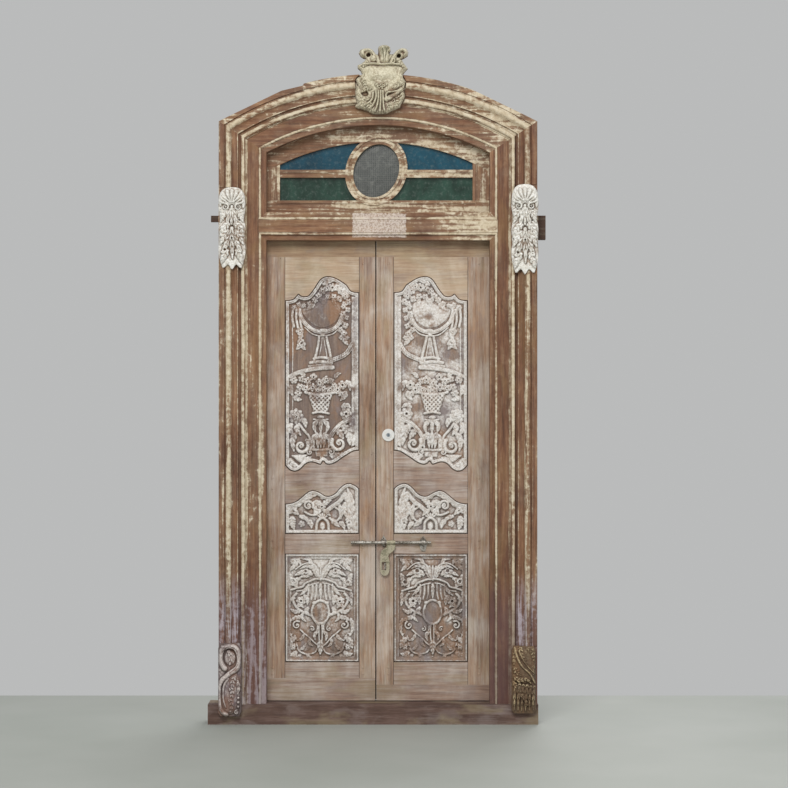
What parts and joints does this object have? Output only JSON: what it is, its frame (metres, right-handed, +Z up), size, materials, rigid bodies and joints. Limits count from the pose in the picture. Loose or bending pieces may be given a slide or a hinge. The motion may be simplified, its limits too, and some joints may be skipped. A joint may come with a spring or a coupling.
{
  "type": "carved double door with arched frame and fanlight",
  "caption": "Arched, moulded wooden door frame with a coloured-glass fanlight and a pair of carved panelled leaves that swing inwards, with slide bolt and lock.",
  "frame": {"origin": "underside of the sill, in the middle of the doorway, in the plane 70 mm in front of the back of the posts", "axes": "+Z up, +X to the right as seen from the carved side, the carved side faces -Y"},
  "size_m": [1.42, 0.216, 2.8486],
  "materials": {
    "frame_wood": "worn reddish brown paint and stain with cream remains",
    "sill_wood": "dark purple-brown, worn",
    "limewashed_carving": "white and cream limewash over carved wood",
    "sash_wood": "worn brown wood with cream beads",
    "leaf_wood": "pale greyed brown wood",
    "panel_carving": "carved wood rubbed with lime",
    "panel_moulding": "rubbed wood",
    "blue_glass": "textured blue",
    "green_glass": "textured green",
    "grey_glass": "textured grey",
    "old_iron": "dull, browned",
    "zinc_steel": "dull zinc",
    "nickel_lock": "satin nickel"
  },
  "bodies": {
    "frame": {"sill": "sill_wood", "left_post": "frame_wood", "right_post": "frame_wood", "left_arch": "frame_wood", "right_arch": "frame_wood", "transom_rail": "frame_wood", "crest": "limewashed_carving", "left_capital": "limewashed_carving", "right_capital": "limewashed_carving", "left_base_console": "limewashed_carving", "right_base_console": "limewashed_carving", "fan_arched_rail": "sash_wood", "fan_bottom_rail": "sash_wood", "fan_left_stile": "sash_wood", "fan_right_stile": "sash_wood", "fan_oval_ring": "sash_wood", "fan_bars": "sash_wood", "blue_panes": "blue_glass", "green_panes": "green_glass", "oval_pane": "grey_glass", "hinge_frame_flaps": "old_iron", "hinge_pins": "old_iron"},
    "left_leaf": {"left_hinge_stile": "leaf_wood", "left_meeting_stile": "leaf_wood", "left_head_board": "leaf_wood", "left_top_rail": "leaf_wood", "left_lock_rail": "leaf_wood", "left_middle_rail": "leaf_wood", "left_bottom_rail": "leaf_wood", "left_kick_board": "leaf_wood", "left_upper_panel": "panel_carving", "left_middle_panel": "panel_carving", "left_lower_panel": "panel_carving", "left_panel_mouldings": "panel_moulding", "left_hinge_flaps": "old_iron", "bolt_keeper": "zinc_steel", "latch_strike": "old_iron"},
    "right_leaf": {"right_hinge_stile": "leaf_wood", "right_meeting_stile": "leaf_wood", "right_head_board": "leaf_wood", "right_top_rail": "leaf_wood", "right_lock_rail": "leaf_wood", "right_middle_rail": "leaf_wood", "right_bottom_rail": "leaf_wood", "right_kick_board": "leaf_wood", "right_upper_panel": "panel_carving", "right_middle_panel": "panel_carving", "right_lower_panel": "panel_carving", "right_panel_mouldings": "panel_moulding", "right_hinge_flaps": "old_iron", "bolt_guides": "zinc_steel", "padlock_staple": "zinc_steel", "lock_cylinder": "nickel_lock", "latch_case": "old_iron"},
    "bolt_rod": {"bolt_rod": "zinc_steel"},
    "hasp": {"hasp": "zinc_steel"},
    "lock_plug": {"lock_plug": "nickel_lock"},
    "latch_bolt": {"latch_bolt": "zinc_steel"}
  },
  "joints": [
    {"name": "left_leaf_swing", "type": "hinge", "parent": "frame", "child": "left_leaf", "pos_m": [-0.48, 0.076, 1.06], "axis": [0, 0, 1], "range_deg": [0, 100]},
    {"name": "right_leaf_swing", "type": "hinge", "parent": "frame", "child": "right_leaf", "pos_m": [0.48, 0.076, 1.06], "axis": [0, 0, -1], "range_deg": [0, 100]},
    {"name": "bolt_slide", "type": "slide", "parent": "right_leaf", "child": "bolt_rod", "axis": [1, 0, 0], "range_m": [0, 0.108]},
    {"name": "hasp_swing", "type": "hinge", "parent": "bolt_rod", "child": "hasp", "pos_m": [0.054, 0.014, 0.758], "axis": [-1, 0, 0], "range_deg": [0, 110]},
    {"name": "lock_bolt_slide", "type": "slide", "parent": "right_leaf", "child": "latch_bolt", "axis": [-1, 0, 0], "range_m": [0, 0.018]},
    {"name": "lock_plug_turn", "type": "hinge", "parent": "right_leaf", "child": "lock_plug", "pos_m": [0.043, 0.05, 1.2125], "axis": [0, -1, 0], "range_deg": [0, 180]}
  ],
  "couplings": [
    {"joint": "bolt_slide", "follows": "hasp_swing", "m_per_rad": 0.05625},
    {"joint": "lock_plug_turn", "follows": "lock_bolt_slide", "rad_per_m": 174.5}
  ]
}
